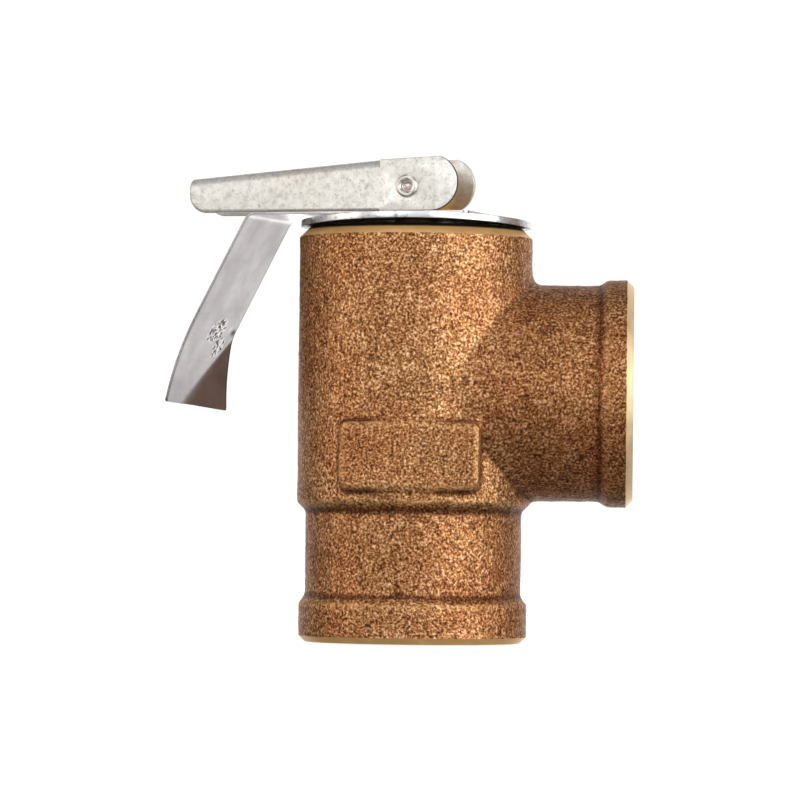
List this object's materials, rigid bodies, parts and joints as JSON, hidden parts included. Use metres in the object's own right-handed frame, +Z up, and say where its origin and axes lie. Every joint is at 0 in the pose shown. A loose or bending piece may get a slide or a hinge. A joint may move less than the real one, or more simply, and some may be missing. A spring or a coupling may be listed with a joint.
{
  "type": "pressure relief valve",
  "caption": "Cast bronze relief valve with female pipe threads, an inlet below, an outlet to the side, a lift lever on a cap plate and a hanging rating tag.",
  "frame": {"origin": "centre of the inlet's bottom face, on the stem's axis", "axes": "+Z up the stem's axis towards the lever, +X out of the side outlet, -Y towards the side with the flat casting pad"},
  "size_m": [0.0762, 0.0393, 0.0786],
  "materials": {
    "cast_bronze": "cast",
    "turned_brass": "machined",
    "zinc_steel": "zinc plated",
    "stainless": "satin",
    "spring_steel": "satin",
    "seat_rubber": "matte"
  },
  "bodies": {
    "valve": {"valve_body": "cast_bronze", "adjusting_plug": "turned_brass", "lock_ring": "turned_brass", "spring_step": "spring_steel", "spring": "spring_steel"},
    "cap": {"cap_plate": "zinc_steel"},
    "disc": {"disc_holder": "turned_brass", "seat_disc": "seat_rubber", "disc_washer": "turned_brass", "disc_screw": "stainless", "stem_ring": "spring_steel"},
    "stem": {"stem": "turned_brass", "lever_rivet": "zinc_steel"},
    "lever": {"lever": "zinc_steel"},
    "tag": {"rating_tag": "stainless"}
  },
  "joints": [
    {"name": "cap_swivel", "type": "hinge", "parent": "valve", "child": "cap", "pos_m": [0, 0, 0.068], "axis": [0, 0, 1], "continuous": true},
    {"name": "disc_lift", "type": "slide", "parent": "valve", "child": "disc", "axis": [0, 0, 1], "range_m": [0, 0.00314], "stiffness_N_per_m": 3000, "springref_m": -0.001, "deforming": ["spring"]},
    {"name": "lever_swivel", "type": "hinge", "parent": "disc", "child": "stem", "pos_m": [0, 0, 0.0738], "axis": [0, 0, 1], "continuous": true},
    {"name": "lever_lift", "type": "hinge", "parent": "stem", "child": "lever", "pos_m": [0, 0, 0.07385], "axis": [0.2823, 0.9593, 0], "range_deg": [0, 45]},
    {"name": "tag_swivel", "type": "hinge", "parent": "valve", "child": "tag", "pos_m": [0, 0, 0.0692], "axis": [0, 0, 1], "range_deg": [-110, 140]}
  ],
  "couplings": [
    {"joint": "lever_lift", "follows": "disc_lift", "rad_per_m": 250}
  ]
}
